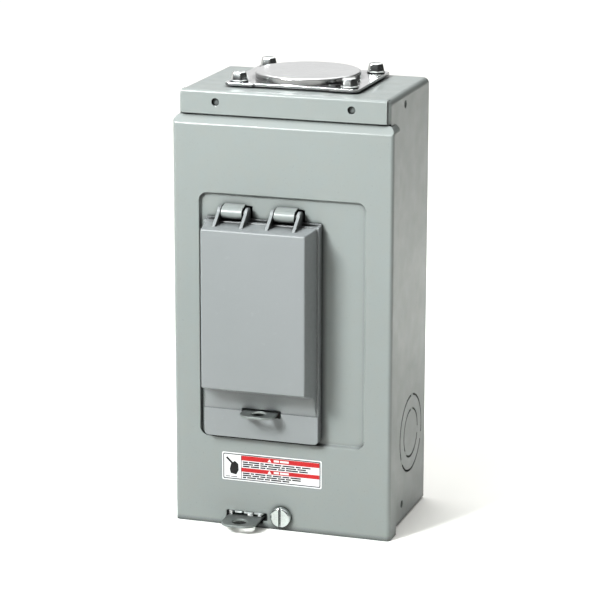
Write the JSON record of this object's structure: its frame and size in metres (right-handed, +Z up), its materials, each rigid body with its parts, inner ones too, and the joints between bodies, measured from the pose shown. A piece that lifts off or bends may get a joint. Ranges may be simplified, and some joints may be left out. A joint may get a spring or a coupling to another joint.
{
  "type": "residential load center",
  "caption": "Small outdoor electrical load center: sheet-metal enclosure with tilt-out cover, hinged breaker door, padlock tabs and hub closing plate.",
  "frame": {"origin": "centre of the four wall-mounting holes on the rear face", "axes": "+X to the right seen from the front, -Y towards the front, +Y into the wall, +Z up"},
  "size_m": [0.1238, 0.0975, 0.2504],
  "materials": {
    "enclosure_paint": "satin grey powder coat",
    "door_plastic": "fine matt moulded grey",
    "zinc": "bright zinc plate",
    "gasket_rubber": "matt black",
    "label_vinyl": "printed vinyl",
    "breaker_black": "matt black moulding",
    "handle_black": "black with white end",
    "steel_pin": "plain steel",
    "base_plastic": "dark moulded insulation",
    "bus_tin": "tin plated",
    "lug_aluminium": "tin plated aluminium",
    "brass_screw": "plain brass"
  },
  "bodies": {
    "enclosure": {"hood_wrap": "enclosure_paint", "back_panel": "enclosure_paint", "bottom_end_wall": "enclosure_paint", "box_padlock_tab": "zinc", "right_knockout_ring": "enclosure_paint", "right_knockout_disc": "enclosure_paint", "left_knockout_ring": "enclosure_paint", "left_knockout_disc": "enclosure_paint", "bottom_knockout_ring": "enclosure_paint", "bottom_knockout_disc": "enclosure_paint", "back_knockout_disc": "enclosure_paint", "hub_gasket": "gasket_rubber", "hub_closing_plate": "zinc", "hub_screws": "zinc", "left_breaker_case": "breaker_black", "right_breaker_case": "breaker_black", "handle_pins": "steel_pin", "breaker_terminals": "lug_aluminium", "terminal_screws": "brass_screw", "interior_base": "base_plastic", "interior_screws": "zinc", "left_line_bus": "bus_tin", "right_line_bus": "bus_tin", "main_lugs": "lug_aluminium", "lug_screws": "zinc", "neutral_bar": "lug_aluminium", "neutral_screws": "brass_screw", "ground_bar": "lug_aluminium", "ground_screws": "zinc", "ground_standoffs": "zinc", "bonding_strap": "bus_tin", "bonding_screw": "brass_screw", "breaker_rail": "zinc"},
    "cover": {"cover": "enclosure_paint", "hinge_barrels": "enclosure_paint", "door_padlock_tab": "zinc", "cover_label": "label_vinyl", "screw_retainer": "zinc"},
    "cover_screw": {"cover_screw": "zinc"},
    "breaker_door": {"breaker_door": "door_plastic"},
    "left_handle": {"left_breaker_handle": "handle_black"},
    "right_handle": {"right_breaker_handle": "handle_black"}
  },
  "joints": [
    {"name": "cover_tilt", "type": "hinge", "parent": "enclosure", "child": "cover", "pos_m": [0, -0.0746, 0.1083], "axis": [-1, 0, 0], "range_deg": [0, 30]},
    {"name": "cover_screw_turn", "type": "hinge", "parent": "cover", "child": "cover_screw", "pos_m": [0, -0.079, -0.1131], "axis": [0, -1, 0], "continuous": true},
    {"name": "breaker_door_swing", "type": "hinge", "parent": "cover", "child": "breaker_door", "pos_m": [0, -0.0808, 0.0561], "axis": [-1, 0, 0], "range_deg": [0, 105]},
    {"name": "left_toggle", "type": "hinge", "parent": "enclosure", "child": "left_handle", "pos_m": [-0.023, -0.072, -0.0067], "axis": [1, 0, 0], "range_deg": [0, 44]},
    {"name": "right_toggle", "type": "hinge", "parent": "enclosure", "child": "right_handle", "pos_m": [0.0024, -0.072, -0.0067], "axis": [1, 0, 0], "range_deg": [0, 44]}
  ]
}
